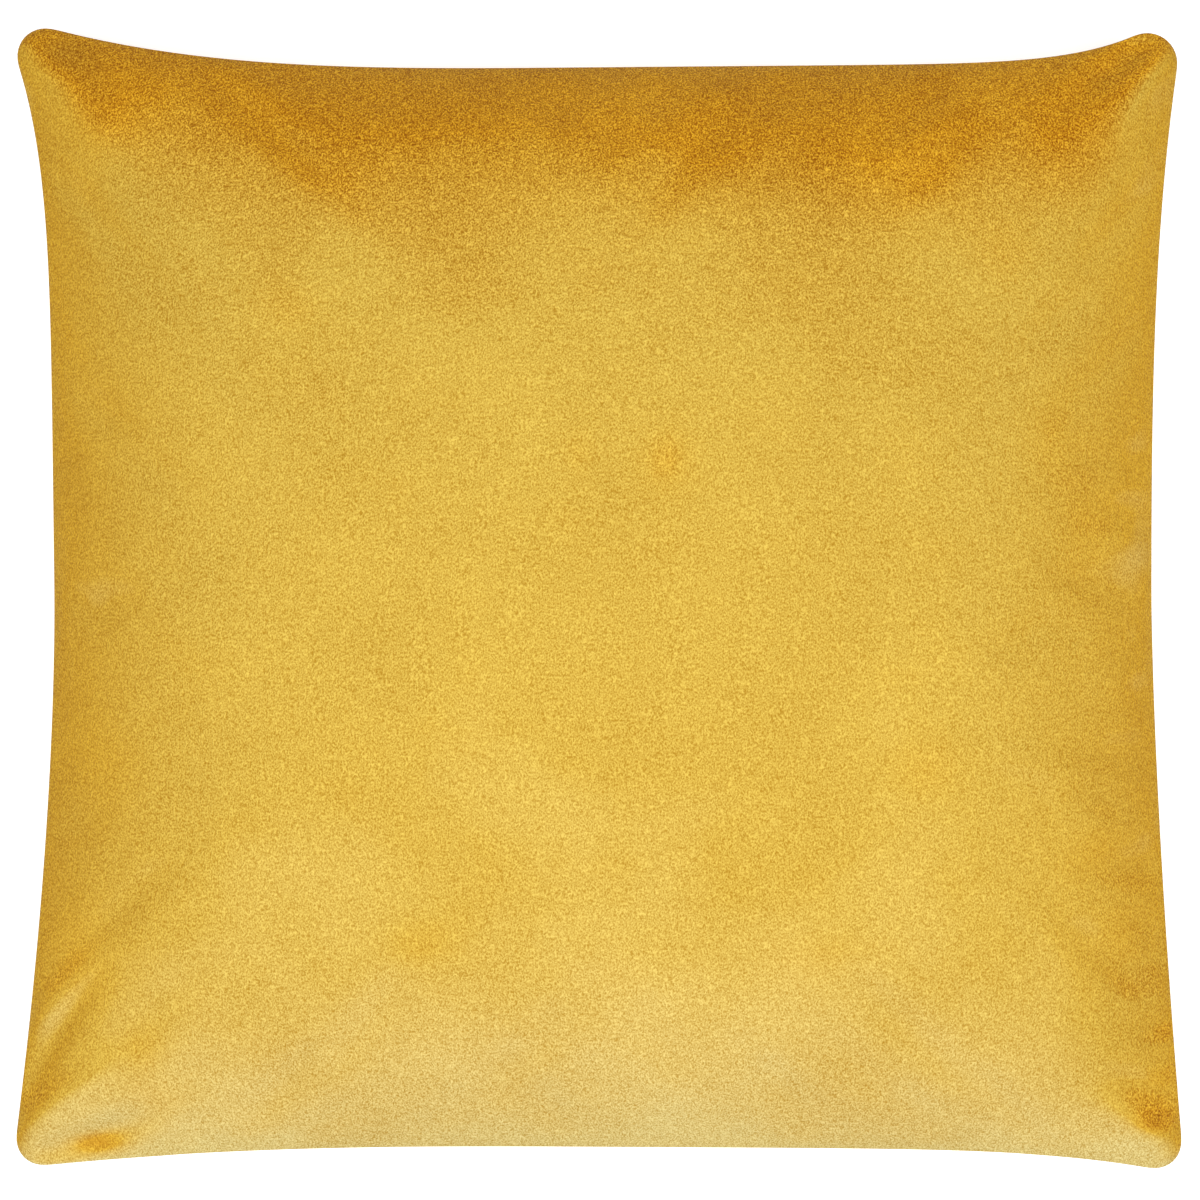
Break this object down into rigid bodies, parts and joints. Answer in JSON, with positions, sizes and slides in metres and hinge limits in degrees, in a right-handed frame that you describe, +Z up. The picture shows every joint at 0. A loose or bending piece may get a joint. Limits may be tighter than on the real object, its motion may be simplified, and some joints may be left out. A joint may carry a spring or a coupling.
{
  "type": "throw pillow",
  "caption": "Square knife-edge velvet throw pillow with pinched ears, a concealed zip along the bottom seam and a removable fibre-filled insert.",
  "frame": {"origin": "floor level under the middle of the pillow's ear-to-ear box, the pillow lying on its back panel", "axes": "+Z up, out of the front panel; +Y towards the edge opposite the zip; +X along the zip towards its open end"},
  "size_m": [0.4501, 0.4398, 0.1219],
  "materials": {
    "velvet": "matte",
    "sewing_thread": "matte",
    "label_satin": "satin",
    "zip_tape": "matte",
    "zip_coil": "satin",
    "zip_metal": "satin",
    "zip_stop": "satin",
    "insert_cloth": "matte",
    "white_thread": "matte",
    "polyester_fibre": "matte"
  },
  "bodies": {
    "pillow": {"cover_front": "velvet", "cover_back": "velvet", "cover_seam_thread": "sewing_thread", "cover_overlock_thread": "sewing_thread", "care_label": "label_satin", "zip_tape_front": "zip_tape", "zip_tape_back": "zip_tape", "zip_coil_front": "zip_coil", "zip_coil_back": "zip_coil", "zip_top_stops": "zip_stop", "zip_bottom_stop": "zip_stop", "zip_stitching": "sewing_thread", "zip_bar_tacks": "sewing_thread", "insert_front": "insert_cloth", "insert_back": "insert_cloth", "insert_seam_thread": "white_thread", "insert_closing_thread": "white_thread", "fibre_fill": "polyester_fibre"},
    "slider": {"zip_slider": "zip_metal"},
    "pull": {"zip_pull": "zip_metal"}
  },
  "joints": [
    {"name": "zip_slide", "type": "slide", "parent": "pillow", "child": "slider", "axis": [1, 0, 0], "range_m": [0, 0.3053], "deforming": ["zip_coil_front", "zip_coil_back"]},
    {"name": "pull_swing", "type": "hinge", "parent": "slider", "child": "pull", "pos_m": [-0.1523, -0.21235, 0.0575], "axis": [-1, 0, 0], "range_deg": [0, 90]}
  ]
}
